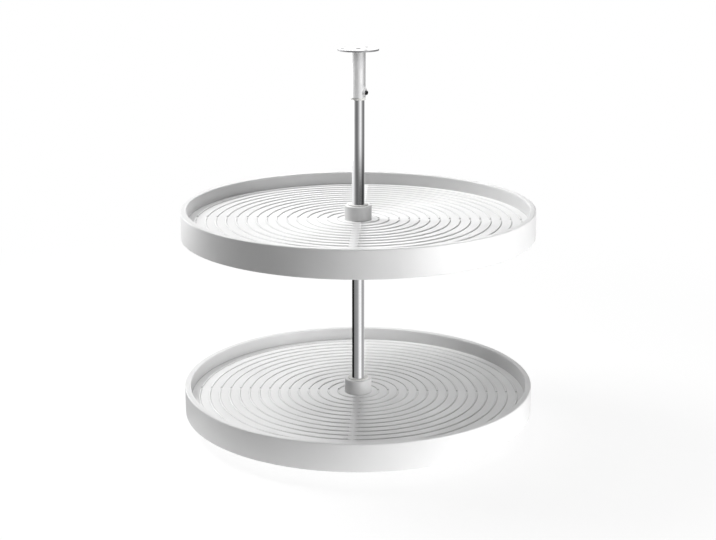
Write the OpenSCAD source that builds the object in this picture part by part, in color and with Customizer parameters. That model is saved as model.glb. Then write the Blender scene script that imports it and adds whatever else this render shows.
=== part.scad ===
// Revolving shelf set: two round moulded trays that turn about one upright post.
// The origin is the centre of the floor flange's underside, and +Z points up.
// The gaps in the trays' ribs lie along X and Y.

/* [Trays] */
// Outer diameter of a tray
tray_d = 609.6; // [500:0.1:760]
// Height of the skirt, from its lower edge to the top of the rim
skirt_h = 47.6; // [42:0.1:60]
// Height of the floor's upper face above the skirt's lower edge
floor_z = 24.1; // [20:0.1:30]
// Width of the rolled rim, seen from above
rim_w = 10.5; // [8:0.1:14]
// Radius on the rim's two upper edges
rim_edge_r = 2.4; // [1:0.1:2.6]
// Wall thickness of the moulding
wall = 2.6; // [2:0.1:3]
// Radius of the blend where the floor meets the rim and the hub
blend_r = 2; // [0.5:0.1:4]

/* [Tray ribs] */
// Number of raised rings on the floor
ring_count = 15; // [5:1:18]
// Radius of the innermost ring
first_ring_r = 35.7; // [30:0.1:60]
// Distance from the outermost ring to the rim's inner wall
ring_margin = 14.3; // [8:0.1:30]
// Width of a ring at its foot, which is half round
ring_w = 3.2; // [2:0.1:4]
// Width of the four gaps that break the rings into quarters
ring_gap = 14; // [6:0.5:30]
// Number of stiffening webs under the floor
web_count = 12; // [6:1:24]
// Depth of the webs below the floor
web_h = 12; // [4:0.5:14]
// Thickness of the webs
web_t = 2; // [1.5:0.1:3]
// Radii of the two round webs, as shares of the tray's radius
round_web_shares = [0.36, 0.68]; // [0.1:0.01:0.9]

/* [Hubs and bushes] */
// Outer diameter of the hub above the floor
hub_d = 46.6; // [44:0.1:60]
// Height of the hub above the floor, without the bush's lip
hub_h = 24.9; // [20:0.1:40]
// Radius on the hub's upper edge
hub_edge_r = 1.2; // [0.5:0.1:2]
// Outer diameter of the bushes where they sit in the hub
bush_d = 28; // [26:0.1:30]
// Length of each bush inside the hub
bush_l = 18; // [10:0.5:18]
// Diameter of the bushes' flanges
bush_lip_d = 35; // [32:0.1:40]
// Thickness of the bushes' flanges
bush_lip_t = 1.8; // [1:0.1:3]

/* [Post and sleeve] */
// Outer diameter of the post
post_d = 21.6; // [20:0.1:23]
// Wall thickness of the post
post_wall = 1.5; // [1:0.1:2.5]
// Outer diameter of the sleeve
sleeve_d = 25; // [24.8:0.1:28]
// Wall thickness of the sleeve
sleeve_wall = 1.2; // [1:0.1:1.2]
// Radial running clearance of each bush, collar and guide
run_gap = 0.05; // [0.02:0.01:0.09]
// Clearance between other moving pieces
slip_gap = 0.3; // [0.2:0.05:0.5]

/* [Heights] */
// Overall height with the sleeve pushed down
set_h = 660.4; // [600:0.1:800]
// Height of the lower tray's skirt above the cabinet floor
lower_z = 28.6; // [28:0.1:60]
// Distance from the lower tray to the upper tray
tier_pitch = 314; // [250:1:350]
// Length of the sleeve from its guide ring to the top flange's upper face
sleeve_l = 86.4; // [70:0.1:100]
// Distance from the post's upper end to the top flange's upper face
post_drop = 14.4; // [13:0.1:20]

/* [Flanges] */
// Diameter of the floor and top flanges
flange_d = 70; // [66:0.5:100]
// Thickness of the flanges
flange_t = 3; // [2:0.1:5]
// Diameter of the circle that the screw holes lie on
screw_circle_d = 53; // [50:0.5:56]
// Number of screw holes in each flange
screw_count = 3; // [3:1:4]
// Diameter of the screw holes
screw_hole_d = 5.8; // [4:0.1:6.5]
// Diameter of the countersinks
countersink_d = 9.8; // [7:0.1:10]
// Diameter of the sighting hole in the middle of the top flange
sight_hole_d = 8.6; // [4:0.1:12]

/* [Clamping pieces] */
// Outer diameter of the support collars
collar_d = 36; // [32:0.5:40]
// Height of the support collars
collar_h = 12; // [11:0.1:12]
// Outer diameter of the foot socket
socket_d = 34; // [30:0.5:36]
// Height of the foot socket above the floor flange
socket_h = 12; // [10:0.1:12]
// Thread diameter of the grub screws
grub_d = 6; // [5:0.5:6]
// Height of the lock screw above the sleeve's lower end
lock_z = 13; // [12:0.1:20]
// Direction of the lock screw about the post
lock_angle = -30; // [-90:1:90]
// Thread diameter of the lock screw
lock_d = 5; // [4:0.5:6]
// Diameter of the lock screw's head
lock_head_d = 7; // [6.5:0.1:9]
// Thickness of the lock screw's head
lock_head_t = 2.4; // [1.5:0.1:4]
// Width of the drop-shaped boss round the lock screw
boss_w = 10; // [8:0.1:11]
// How far the boss stands out from the sleeve
boss_out = 3; // [2:0.1:5]

/* [Hidden] */
$fn = 96;

// Colours, as the finished pieces look
white_plastic = "white";
natural_nylon = "ivory";
bright_steel = "silver";
satin_steel = "gainsboro";
black_steel = "dimgray";

// Tray, measured from the skirt's lower edge
rim_r = tray_d / 2;
floor_r = rim_r - rim_w;
floor_under_z = floor_z - wall;
hub_r = hub_d / 2;
hub_top_z = floor_z + hub_h;
seat_r = bush_d / 2;
bush_lip_r = bush_lip_d / 2;
last_ring_r = floor_r - ring_margin;
ring_pitch = (last_ring_r - first_ring_r) / (ring_count - 1);

// The stack under each hub, from the skirt's lower edge up
washer_t = 1.5;
bottom_lip_z = washer_t + slip_gap / 3;
hub_foot_z = bottom_lip_z + bush_lip_t;

// Post, sleeve and what runs on them
post_r = post_d / 2;
post_bore_r = post_r - post_wall;
run_r = post_r + run_gap;
sleeve_r = sleeve_d / 2;
sleeve_bore_r = sleeve_r - sleeve_wall;
post_top_z = set_h - post_drop;
sleeve_low_z = set_h - sleeve_l;
sleeve_high_z = set_h - flange_t;
guide_lip_h = 4;
guide_plug_h = 5;
plug_head_h = 6;
plug_depth = 16;

// Screws
screw_tip_r = post_r + slip_gap;
thread_gap = 0.05;
lock_screw_z = sleeve_low_z + lock_z;
boss_face_r = sleeve_r + boss_out;
boss_tail_l = lock_z - guide_lip_h - 1.2;
upper_z = lower_z + tier_pitch;

// Small amount by which solids run into each other before they are joined or cut
joint_in = 0.5;

// --- Outlines and small shapes ---

// Bar whose two upper corners are rounded
module round_top_bar(w, h, r) {
    square([w, h - r]);
    translate([r, 0]) square([w - 2 * r, h]);
    for (x = [r, w - r])
        translate([x, h - r]) circle(r);
}

// Blend that fills an inside corner between a floor and a wall on its left
module blend(r) {
    difference() {
        translate([-joint_in, -joint_in]) square(r + joint_in);
        translate([r, r]) circle(r);
    }
}

// Ring with a rectangular section
module ring(r_in, r_out, z_low, h) {
    rotate_extrude()
        translate([r_in, z_low]) square([r_out - r_in, h]);
}

// Turns what points along +X so that it points along the angle, at a height
module facing(angle, z) {
    translate([0, 0, z]) rotate([0, 0, angle]) children();
}

// Bar along +X between two distances from the axis
module radial_bar(r, from, to) {
    translate([from, 0, 0]) rotate([0, 90, 0]) cylinder(r = r, h = to - from);
}

// Hexagon socket that opens towards +X
module hex_socket(across, from, to) {
    translate([from, 0, 0])
        rotate([0, 90, 0]) cylinder(r = across / sqrt(3), h = to - from, $fn = 6);
}

// --- Tray ---

// Rolled rim: a hollow upturned channel whose outer side is the skirt
module rim_section() {
    difference() {
        translate([floor_r, floor_under_z])
            round_top_bar(rim_w, skirt_h - floor_under_z, rim_edge_r);
        translate([floor_r + wall, floor_under_z - joint_in])
            round_top_bar(rim_w - 2 * wall, skirt_h - floor_z + joint_in, 1);
    }
    translate([rim_r - wall, wall / 2])
        square([wall, floor_under_z]);
    translate([rim_r - wall / 2, wall / 2]) circle(wall / 2);
}

// Hub: outer wall, flat top and the inner tube that seats the bushes
module hub_section() {
    inner_wall_r = seat_r + wall;
    difference() {
        union() {
            translate([seat_r, floor_under_z])
                square([hub_r - seat_r, hub_top_z - floor_under_z - hub_edge_r]);
            translate([seat_r, floor_under_z])
                square([hub_r - seat_r - hub_edge_r, hub_top_z - floor_under_z]);
            translate([hub_r - hub_edge_r, hub_top_z - hub_edge_r]) circle(hub_edge_r);
        }
        translate([inner_wall_r, floor_under_z - joint_in])
            square([hub_r - wall - inner_wall_r, hub_top_z - floor_z + joint_in]);
    }
    translate([seat_r, hub_foot_z])
        square([wall, floor_z - hub_foot_z]);
}

// Floor with its blends to the rim and the hub
module floor_section() {
    translate([hub_r - wall, floor_under_z])
        square([floor_r - hub_r + 2 * wall, wall]);
    translate([hub_r, floor_z]) blend(blend_r);
    translate([floor_r, floor_z]) mirror([1, 0]) blend(blend_r);
}

// Half-round rings on the floor, broken by four gaps
module floor_rings() {
    difference() {
        rotate_extrude()
            for (i = [0 : ring_count - 1])
                translate([first_ring_r + i * ring_pitch, floor_z]) circle(ring_w / 2);
        for (a = [0, 90])
            rotate([0, 0, a])
                translate([-rim_r, -ring_gap / 2, floor_under_z])
                    cube([2 * rim_r, ring_gap, 2 * wall]);
    }
}

// Stiffening webs under the floor: spokes from the hub to the skirt, and two circles.
// A spoke fills the hollows of the hub and the rim up to their ceilings where it crosses them.
module floor_webs() {
    web_low_z = floor_under_z - web_h;
    hub_in_r = seat_r + wall / 2;
    hub_out_r = hub_r - wall / 2;
    rim_in_r = floor_r + wall / 2;
    rim_out_r = rim_r - wall / 2;
    for (i = [0 : web_count - 1])
        rotate([0, 0, (i + 0.5) * 360 / web_count])
            translate([0, -web_t / 2, web_low_z]) {
                translate([hub_in_r, 0, 0])
                    cube([rim_out_r - hub_in_r, web_t, web_h + joint_in]);
                translate([hub_in_r, 0, 0])
                    cube([hub_out_r - hub_in_r, web_t, hub_top_z - wall / 2 - web_low_z]);
                translate([rim_in_r, 0, 0])
                    cube([rim_out_r - rim_in_r, web_t, skirt_h - wall / 2 - web_low_z]);
            }
    for (share = round_web_shares)
        ring(share * rim_r, share * rim_r + web_t, web_low_z, web_h + joint_in);
}

module tray() {
    color(white_plastic) {
        rotate_extrude() {
            rim_section();
            floor_section();
            hub_section();
        }
        floor_rings();
        floor_webs();
    }
}

// --- Bushes, washer and collar of one tray ---

// Flanged bush with its flange on top, measured from the flange's lower face
module flanged_bush() {
    edge = 0.5;
    color(natural_nylon)
        rotate_extrude()
            difference() {
                union() {
                    translate([run_r, -bush_l]) square([seat_r - run_r, bush_l + joint_in]);
                    translate([run_r, 0]) round_top_bar(bush_lip_r - run_r, bush_lip_t, edge);
                }
                translate([run_r - joint_in, -bush_l - joint_in])
                    square([joint_in, bush_l + bush_lip_t + 2 * joint_in]);
            }
}

module top_bush() {
    translate([0, 0, hub_top_z]) flanged_bush();
}

module bottom_bush() {
    translate([0, 0, hub_foot_z]) mirror([0, 0, 1]) flanged_bush();
}

module thrust_washer() {
    color(natural_nylon)
        ring(post_r + slip_gap, bush_lip_r, 0, washer_t);
}

// Support collar, clamped to the post by a grub screw from the front
module collar() {
    bevel = 0.8;
    color(satin_steel)
        difference() {
            rotate_extrude()
                polygon([
                    [run_r, -collar_h], [collar_d / 2 - bevel, -collar_h],
                    [collar_d / 2, -collar_h + bevel], [collar_d / 2, -bevel],
                    [collar_d / 2 - bevel, 0], [run_r, 0]
                ]);
            facing(-90, -collar_h / 2) radial_bar(grub_d / 2, post_r - joint_in, collar_d);
        }
}

// Grub screw that points at the post along +X, with its socket outside
module grub_screw(outer_r) {
    socket_depth = 2.5;
    tip_l = 1;
    body_r = grub_d / 2 - thread_gap;
    color(black_steel)
        difference() {
            union() {
                radial_bar(body_r, screw_tip_r + tip_l, outer_r);
                translate([screw_tip_r, 0, 0]) rotate([0, 90, 0])
                    cylinder(r1 = body_r - tip_l, r2 = body_r, h = tip_l);
            }
            hex_socket(grub_d / 2, outer_r - socket_depth, outer_r + joint_in);
        }
}

module collar_screw() {
    facing(-90, -collar_h / 2) grub_screw(collar_d / 2 - 0.5);
}

// --- Flanges, post and foot ---

// Round flange with countersunk screw holes; its countersinks open at the top
module flange() {
    sink_h = (countersink_d - screw_hole_d) / 2;
    edge = 0.6;
    difference() {
        rotate_extrude()
            polygon([
                [0, 0], [flange_d / 2 - edge, 0], [flange_d / 2, edge],
                [flange_d / 2, flange_t - edge], [flange_d / 2 - edge, flange_t], [0, flange_t]
            ]);
        for (i = [0 : screw_count - 1])
            rotate([0, 0, 180 + i * 360 / screw_count])
                translate([screw_circle_d / 2, 0, 0]) {
                    translate([0, 0, -joint_in]) cylinder(d = screw_hole_d, h = flange_t + 2 * joint_in);
                    translate([0, 0, flange_t - sink_h])
                        cylinder(d1 = screw_hole_d, d2 = countersink_d, h = sink_h);
                }
    }
}

module floor_flange() {
    color(satin_steel) flange();
}

// Its countersinks open downwards, because its screws are driven up
module top_flange() {
    color(satin_steel)
        difference() {
            translate([0, 0, set_h]) mirror([0, 0, 1]) flange();
            translate([0, 0, set_h - flange_t - joint_in])
                cylinder(d = sight_hole_d, h = flange_t + 2 * joint_in);
        }
}

// Socket that holds the post's lower end on the floor flange
module foot_socket() {
    bevel = 1;
    color(satin_steel)
        difference() {
            rotate_extrude()
                polygon([
                    [post_r, flange_t], [socket_d / 2, flange_t],
                    [socket_d / 2, flange_t + socket_h - bevel],
                    [socket_d / 2 - bevel, flange_t + socket_h], [post_r, flange_t + socket_h]
                ]);
            facing(-90, flange_t + socket_h / 2)
                radial_bar(grub_d / 2, post_r - joint_in, socket_d);
        }
}

module foot_grub_screw() {
    facing(-90, flange_t + socket_h / 2) grub_screw(socket_d / 2 - 0.5);
}

module post() {
    color(bright_steel)
        ring(post_bore_r, post_r, flange_t, post_top_z - flange_t);
}

// Plug in the post's upper end, whose head runs inside the sleeve
module post_guide_plug() {
    head_r = sleeve_bore_r - run_gap;
    edge = 0.8;
    color(natural_nylon)
        rotate_extrude() {
            translate([0, post_top_z - plug_depth]) square([post_bore_r, plug_depth + joint_in]);
            translate([0, post_top_z])
                polygon([
                    [0, 0], [head_r, 0], [head_r, plug_head_h - edge],
                    [head_r - edge, plug_head_h], [0, plug_head_h]
                ]);
        }
}

// --- Sleeve and its lock ---

module sleeve() {
    tube_low_z = sleeve_low_z + guide_lip_h;
    color(satin_steel)
        difference() {
            ring(sleeve_bore_r, sleeve_r, tube_low_z, sleeve_high_z - tube_low_z);
            facing(lock_angle, lock_screw_z) radial_bar(lock_d / 2, post_r, sleeve_d);
        }
}

// Ring in the sleeve's lower end that runs on the post
module sleeve_guide_ring() {
    edge = 0.8;
    color(natural_nylon)
        rotate_extrude()
            polygon([
                [run_r, sleeve_low_z], [sleeve_r - edge, sleeve_low_z],
                [sleeve_r, sleeve_low_z + edge], [sleeve_r, sleeve_low_z + guide_lip_h],
                [sleeve_bore_r, sleeve_low_z + guide_lip_h],
                [sleeve_bore_r, sleeve_low_z + guide_lip_h + guide_plug_h],
                [run_r, sleeve_low_z + guide_lip_h + guide_plug_h]
            ]);
}

// Points of an arc about a centre on the X axis
function arc_points(centre_x, r, from, to, steps) = [
    for (i = [0 : steps])
        let (a = from + (to - from) * i / steps)
            [centre_x + r * cos(a), r * sin(a)]
];

// Drop outline: a round head at the origin and a smaller round tail along +X
module drop_outline(head_r, tail_r, length) {
    lean = acos((head_r - tail_r) / length);
    polygon(concat(
        arc_points(0, head_r, lean, 360 - lean, 24),
        arc_points(length, tail_r, -lean, lean, 8)
    ));
}

// Drop-shaped boss on the sleeve, threaded for the lock screw, with its tail down
module lock_boss() {
    color(satin_steel)
        difference() {
            facing(lock_angle, lock_screw_z)
                translate([sleeve_bore_r, 0, 0]) rotate([0, 90, 0])
                    linear_extrude(boss_face_r - sleeve_bore_r)
                        drop_outline(boss_w / 2, 1.2, boss_tail_l);
            translate([0, 0, sleeve_low_z]) cylinder(r = sleeve_r, h = sleeve_l);
            facing(lock_angle, lock_screw_z) radial_bar(lock_d / 2, post_r, sleeve_d);
        }
}

module lock_screw() {
    socket_depth = 1.6;
    head_in_r = boss_face_r + slip_gap / 3;
    head_out_r = head_in_r + lock_head_t;
    edge = 0.5;
    color(black_steel)
        facing(lock_angle, lock_screw_z)
            difference() {
                union() {
                    radial_bar(lock_d / 2 - thread_gap, screw_tip_r, head_in_r + joint_in);
                    radial_bar(lock_head_d / 2, head_in_r, head_out_r - edge);
                    translate([head_out_r - edge, 0, 0]) rotate([0, 90, 0])
                        cylinder(r1 = lock_head_d / 2, r2 = lock_head_d / 2 - edge, h = edge);
                }
                hex_socket(lock_d / 2 + 0.5, head_out_r - socket_depth, head_out_r + joint_in);
            }
}

// --- The two tiers ---

module lower_tray() {
    translate([0, 0, lower_z]) tray();
}

module lower_top_bush() {
    translate([0, 0, lower_z]) top_bush();
}

module lower_bottom_bush() {
    translate([0, 0, lower_z]) bottom_bush();
}

module lower_thrust_washer() {
    translate([0, 0, lower_z]) thrust_washer();
}

module lower_collar() {
    translate([0, 0, lower_z]) collar();
}

module lower_collar_screw() {
    translate([0, 0, lower_z]) collar_screw();
}

module upper_tray() {
    translate([0, 0, upper_z]) tray();
}

module upper_top_bush() {
    translate([0, 0, upper_z]) top_bush();
}

module upper_bottom_bush() {
    translate([0, 0, upper_z]) bottom_bush();
}

module upper_thrust_washer() {
    translate([0, 0, upper_z]) thrust_washer();
}

module upper_collar() {
    translate([0, 0, upper_z]) collar();
}

module upper_collar_screw() {
    translate([0, 0, upper_z]) collar_screw();
}

floor_flange();
foot_socket();
foot_grub_screw();
post();
post_guide_plug();
sleeve();
sleeve_guide_ring();
lock_boss();
lock_screw();
top_flange();
lower_tray();
lower_top_bush();
lower_bottom_bush();
lower_thrust_washer();
lower_collar();
lower_collar_screw();
upper_tray();
upper_top_bush();
upper_bottom_bush();
upper_thrust_washer();
upper_collar();
upper_collar_screw();
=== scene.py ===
# %% [markdown]
# # A two-tier revolving shelf set
#
# Two round white trays turn on one upright post inside a corner cabinet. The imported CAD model
# gives every piece its real size and says which body it moves with. This lesson dresses that
# frame: each piece is made again with true round edges, and each finish is built from nodes.
#
# Everything is in metres. The post stands on the Z axis, the cabinet floor is at z = 0, and the
# front of the set looks along -Y.

# %% The frame
from math import acos, asin, copysign, cos, degrees, pi, radians, sin, sqrt, tan

import bmesh
import bpy
from mathutils import Matrix, Vector


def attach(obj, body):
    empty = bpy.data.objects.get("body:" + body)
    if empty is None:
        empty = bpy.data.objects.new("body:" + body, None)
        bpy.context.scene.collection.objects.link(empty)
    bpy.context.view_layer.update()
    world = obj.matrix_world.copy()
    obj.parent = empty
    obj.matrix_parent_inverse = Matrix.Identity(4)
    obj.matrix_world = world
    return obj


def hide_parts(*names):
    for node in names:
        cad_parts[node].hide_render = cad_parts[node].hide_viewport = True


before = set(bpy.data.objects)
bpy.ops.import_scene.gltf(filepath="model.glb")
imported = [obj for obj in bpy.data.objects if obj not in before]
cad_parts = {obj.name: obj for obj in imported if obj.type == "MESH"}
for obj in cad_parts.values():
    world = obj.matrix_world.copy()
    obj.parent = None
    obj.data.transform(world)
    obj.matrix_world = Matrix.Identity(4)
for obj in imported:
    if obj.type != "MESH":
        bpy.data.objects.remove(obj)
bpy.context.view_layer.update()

# %% [markdown]
# ## Sizes
#
# Sizes are written in millimetres and turned into metres by one factor. These few drive the rest.
# Heights on a tray are measured from its skirt's lower edge, so that both trays share one drawing.

# %% Sizes that drive the rest
MM = 0.001
TURN = 2 * pi
FRONT = -90

SET_TOP = 660.4 * MM
TRAY_R = 304.8 * MM
LOWER_Z = 28.6 * MM
UPPER_Z = LOWER_Z + 314 * MM
POST_R = 10.8 * MM
POST_BORE = POST_R - 1.5 * MM
POST_TOP = SET_TOP - 14.4 * MM
SLEEVE_R = 12.5 * MM
SLEEVE_BORE = SLEEVE_R - 1.2 * MM
SLEEVE_LOW = SET_TOP - 86.4 * MM
FLANGE_R = 35 * MM
FLANGE_T = 3 * MM
RUN_GAP = 0.05 * MM
RUNNING_R = POST_R + RUN_GAP
TIERS = {"lower": LOWER_Z, "upper": UPPER_Z}
print("trays at", [round(z, 4) for z in TIERS.values()], "of", SET_TOP)

# %% [markdown]
# ## Outlines with true round edges
#
# Almost every piece is a body of revolution: a tube, a disc or a ring. No real edge is razor
# sharp, and a round one catches a thin line of light. So each piece starts as an outline of
# corners with their own edge radii, and one function rounds them all. It can add two close points
# on both sides of each arc. They hold what a material paints on edges and in creases, which would
# otherwise spread to the next far point.

# %% Round the corners of an outline


def rounded(corners, steps=4, hold=0.0):
    """Points of a closed outline whose corners (r, z, radius) are replaced by arcs."""
    points = []
    for i, (r, z, radius) in enumerate(corners):
        corner = Vector((r, z))
        if radius == 0:
            points.append(corner)
            continue
        back = (Vector(corners[i - 1][:2]) - corner).normalized()
        ahead = (Vector(corners[(i + 1) % len(corners)][:2]) - corner).normalized()
        half = back.angle(ahead) / 2
        reach = radius / tan(half)
        centre = corner + (back + ahead).normalized() * radius / sin(half)
        start = corner + back * reach - centre
        sweep = start.angle_signed(corner + ahead * reach - centre)
        if hold:
            points += [corner + back * (reach + k * hold) for k in (2, 1)]
        for k in range(steps + 1):
            turn = Matrix.Rotation(-sweep * k / steps, 2)
            points.append(centre + turn @ start)
        if hold:
            points += [corner + ahead * (reach + k * hold) for k in (1, 2)]
    return points


print("a rounded wedge:", len(rounded([(0, 0, 0.1), (1, 0, 0.1), (0, 1, 0.1)])), "points")

# %% [markdown]
# ## From mesh to piece
#
# When a shape is done it is welded, its faces are turned outwards, and it becomes an object. Sharp
# edges by angle keep discs flat and tubes round. The Weighted Normal modifier lets the large faces
# decide how an edge is shaded, so that a small round edge doesn't smear over a flat face.

# %% Make a piece from a mesh
WELD = 0.0004 * MM
SHARP_EDGE = radians(42)


def new_object(name, data):
    """New object in the scene."""
    made = bpy.data.objects.new(name, data)
    bpy.context.scene.collection.objects.link(made)
    return made


def to_piece(name, bm):
    """Turns the finished mesh into a new object."""
    bmesh.ops.remove_doubles(bm, verts=bm.verts, dist=WELD)
    bmesh.ops.recalc_face_normals(bm, faces=bm.faces)
    mesh = bpy.data.meshes.new(name)
    bm.to_mesh(mesh)
    bm.free()
    return new_object(name, mesh)


def shade(piece):
    """Smooth faces, sharp edges where the surface really turns a corner."""
    piece.data.shade_smooth()
    piece.data.set_sharp_from_angle(angle=SHARP_EDGE)
    weighted = piece.modifiers.new("weighted corners", "WEIGHTED_NORMAL")
    weighted.keep_sharp = True


def dress(piece, body, node, slot, finish=None):
    """Shades a piece and says what it moves with, what it stands for and its finish."""
    shade(piece)
    piece.data.materials.clear()
    piece.data.materials.append(finish or FINISHES[slot])
    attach(piece, body)
    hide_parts(node)
    print(piece.name, "stands for", node, "with", len(piece.data.polygons), "faces")
    return piece


print("points closer than", WELD / MM, "mm are welded")

# %% [markdown]
# ## The lathe
#
# Blender has a Spin tool for turned shapes. Here the rows of points are laid out directly, which
# keeps the outline's order. Where the outline touches the axis, the weld in `to_piece` gathers the
# points into one.

# %% Turn an outline round the post's axis
SMALL, MEDIUM, ROUND, FINE = 48, 64, 96, 128


def stitch(bm, rows):
    """Faces between each closed row of points and the next."""
    for row, after in zip(rows, rows[1:]):
        for i, point in enumerate(row):
            k = (i + 1) % len(row)
            bm.faces.new((point, row[k], after[k], after[i]))


def lathe(name, outline, steps=ROUND):
    """Solid of revolution about Z from a closed outline of (r, z) points."""
    bm = bmesh.new()
    turns = [TURN * i / steps for i in range(steps)]
    rows = [
        [bm.verts.new((r * cos(t), r * sin(t), z)) for t in turns]
        for r, z in outline
    ]
    stitch(bm, rows + rows[:1])
    return to_piece(name, bm)


def turned(name, corners, steps=ROUND):
    """Solid of revolution whose outline is given as corners (r, z, edge radius)."""
    return lathe(name, rounded(corners), steps)


def lift(piece, z, turn=Matrix()):
    """Turns a piece's mesh and moves it up, and leaves its object at the origin."""
    piece.data.transform(Matrix.Translation((0, 0, z)) @ turn)
    return piece


def aim(piece, angle, z):
    """Turns a piece made along +Z so that it points away from the post at a height."""
    turn = Matrix.Rotation(radians(angle), 4, "Z") @ Matrix.Rotation(TURN / 4, 4, "Y")
    return lift(piece, z, turn)


UPSIDE_DOWN = Matrix.Rotation(TURN / 2, 4, "X")
print("steps round a piece:", SMALL, MEDIUM, ROUND, "or", FINE)

# %% [markdown]
# ## Cutting holes
#
# Screw holes, hexagon sockets and thread holes are cut with Boolean modifiers, like drilling. They
# are applied at once, so that the drills can be thrown away.

# %% Cut a piece with other shapes
CLEAR = 1 * MM


def cut(piece, drills):
    """Takes the drills away from the piece and deletes them."""
    for drill in drills:
        step = piece.modifiers.new("cut", "BOOLEAN")
        step.operation = "DIFFERENCE"
        step.solver = "EXACT"
        step.object = drill
    graph = bpy.context.evaluated_depsgraph_get()
    mesh = bpy.data.meshes.new_from_object(piece.evaluated_get(graph))
    piece.modifiers.clear()
    piece.data = mesh
    for drill in drills:
        bpy.data.objects.remove(drill)
    return piece


def rod(r, low, high, steps=SMALL):
    """Straight bar about Z between two heights."""
    return lathe("drill", [(0, low), (r, low), (r, high), (0, high)], steps)


def thread_hole(r, outer, angle, z):
    """Drill that goes outwards through a wall round the post."""
    return aim(rod(r, POST_R - CLEAR, outer + CLEAR), angle, z)


def hexagon_key(across, low, high):
    """Six-sided bar, as wide across its flats as the socket it cuts."""
    return rod(across / sqrt(3), low, high + CLEAR, 6)


print("drills stand", CLEAR / MM, "mm clear")

# %% [markdown]
# ## Finishes: effects that several materials share
#
# Real surfaces are never one flat colour. Moulded plastic is a little cloudy, plated steel has
# faint streaks, and upward faces gather dust. Each such effect is a node group with named inputs,
# built once and placed in every material with its own values. The groups give only colours, masks
# and heights; the shader itself stays in the material.

# %% Small helpers for node trees


def plug(value, socket):
    """Links an output to a socket, or writes a plain value on it."""
    if isinstance(value, bpy.types.NodeSocket):
        socket.id_data.links.new(value, socket)
    else:
        socket.default_value = value


def fill(inputs, **sockets):
    """Plugs values into named sockets. An underscore stands for a space."""
    for name, value in sockets.items():
        plug(value, inputs[name.replace("_", " ")])


def put(tree, kind, settings=(), **sockets):
    """Adds a node whose type is ShaderNode and the kind."""
    made = tree.nodes.new("ShaderNode" + kind)
    for name, value in dict(settings).items():
        setattr(made, name, value)
    fill(made.inputs, **sockets)
    return made


def wire(tree, kind, *values, **settings):
    """Adds a node, fills its sockets in their order and gives its first output."""
    made = put(tree, kind, settings)
    for value, socket in zip(values, made.inputs):
        plug(value, socket)
    return made.outputs[0]


def calc(tree, operation, *values, clamp=False):
    """One step of arithmetic."""
    return wire(tree, "Math", *values, operation=operation, use_clamp=clamp)


def add_shares(tree, value, *shares):
    """Adds to a value each (mask, amount): the mask times the amount."""
    for mask, amount in shares:
        value = calc(tree, "MULTIPLY_ADD", mask, amount, value)
    return value


def fade(tree, value, low, high, to_low=0.0, to_high=1.0):
    """Smoothly maps a value between two limits."""
    return wire(tree, "MapRange", value, low, high, to_low, to_high,
                interpolation_type="SMOOTHSTEP")


def tint(tree, factor, first, second, kind="MIX"):
    """Mixes two colours by a mask."""
    made = put(tree, "Mix", {"data_type": "RGBA", "blend_type": kind})
    plug(factor, made.inputs[0])
    plug(first, made.inputs[6])
    plug(second, made.inputs[7])
    return made.outputs[2]


def new_group(name, draw, **inputs):
    """Shader node group. draw(tree, given) makes its nodes and gives its outputs by name."""
    tree = bpy.data.node_groups.new(name, "ShaderNodeTree")
    for label, value in inputs.items():
        kind = SOCKETS[len(value) if isinstance(value, tuple) else 1]
        tree.interface.new_socket(label, socket_type=kind).default_value = value
    results = draw(tree, tree.nodes.new("NodeGroupInput").outputs)
    for label in results:
        kind = SOCKETS[4 if label == "Colour" else 1]
        tree.interface.new_socket(label, in_out="OUTPUT", socket_type=kind)
    end = tree.nodes.new("NodeGroupOutput").inputs
    for label, value in results.items():
        plug(value, end[label])
    print("group", name, "gives", ", ".join(results))
    return tree


def use(tree, group, **sockets):
    """Places a node group with its own values and gives its outputs."""
    return put(tree, "Group", {"node_tree": group}, **sockets).outputs


def place_on_piece(tree, scale=(1, 1, 1)):
    """Position on the piece itself, in metres, so that a pattern moves with it."""
    spot = put(tree, "TexCoord").outputs["Object"]
    return put(tree, "Mapping", Vector=spot, Scale=scale).outputs["Vector"]


def noise(tree, given, detail, times=1.0, roughness=0.5):
    """Noise at a group's Place, with spots that many times as large as its Size."""
    scale = calc(tree, "DIVIDE", 1.0 / times, given["Size"])
    return put(tree, "TexNoise", Vector=given["Place"], Scale=scale,
               Detail=detail, Roughness=roughness).outputs["Fac"]


def height_of(tree, direction):
    """The upward part of a direction."""
    return put(tree, "SeparateXYZ", Vector=direction).outputs["Z"]


def distance_of(tree, place):
    """How far a place is from the origin."""
    made = put(tree, "VectorMath", {"operation": "LENGTH"}, Vector=place)
    return made.outputs["Value"]


SOCKETS = {1: "NodeSocketFloat", 3: "NodeSocketVector", 4: "NodeSocketColor"}
ORIGIN = (0, 0, 0)
print("node helpers are ready")

# %% [markdown]
# ### Cloudiness
#
# Plastic and plating vary in patches by a few hundredths. The noise moves the colour between two
# close shades, and its mask also drives the roughness, so that dull patches look a little paler.

# %% Cloudiness group


def cloudiness(tree, given):
    mask = fade(tree, noise(tree, given, 3.0, roughness=0.55), 0.34, 0.66)
    return {"Colour": tint(tree, mask, given["Clear"], given["Dull"]), "Mask": mask}


CLOUDINESS = new_group("Cloudiness", cloudiness, Place=ORIGIN, Size=0.05,
                       Clear=(1, 1, 1, 1), Dull=(0.9, 0.9, 0.9, 1))

# %% [markdown]
# ### Grain
#
# Grain is too fine to model: the orange peel of a moulding, or the lines that a drawing die leaves
# along a tube. It is one noise, stretched where the place is scaled unevenly.

# %% Grain group


def grain(tree, given):
    return {"Height": noise(tree, given, 2.0, roughness=given["Crispness"])}


GRAIN = new_group("Grain", grain, Place=ORIGIN, Size=0.001, Crispness=0.5)

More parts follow.
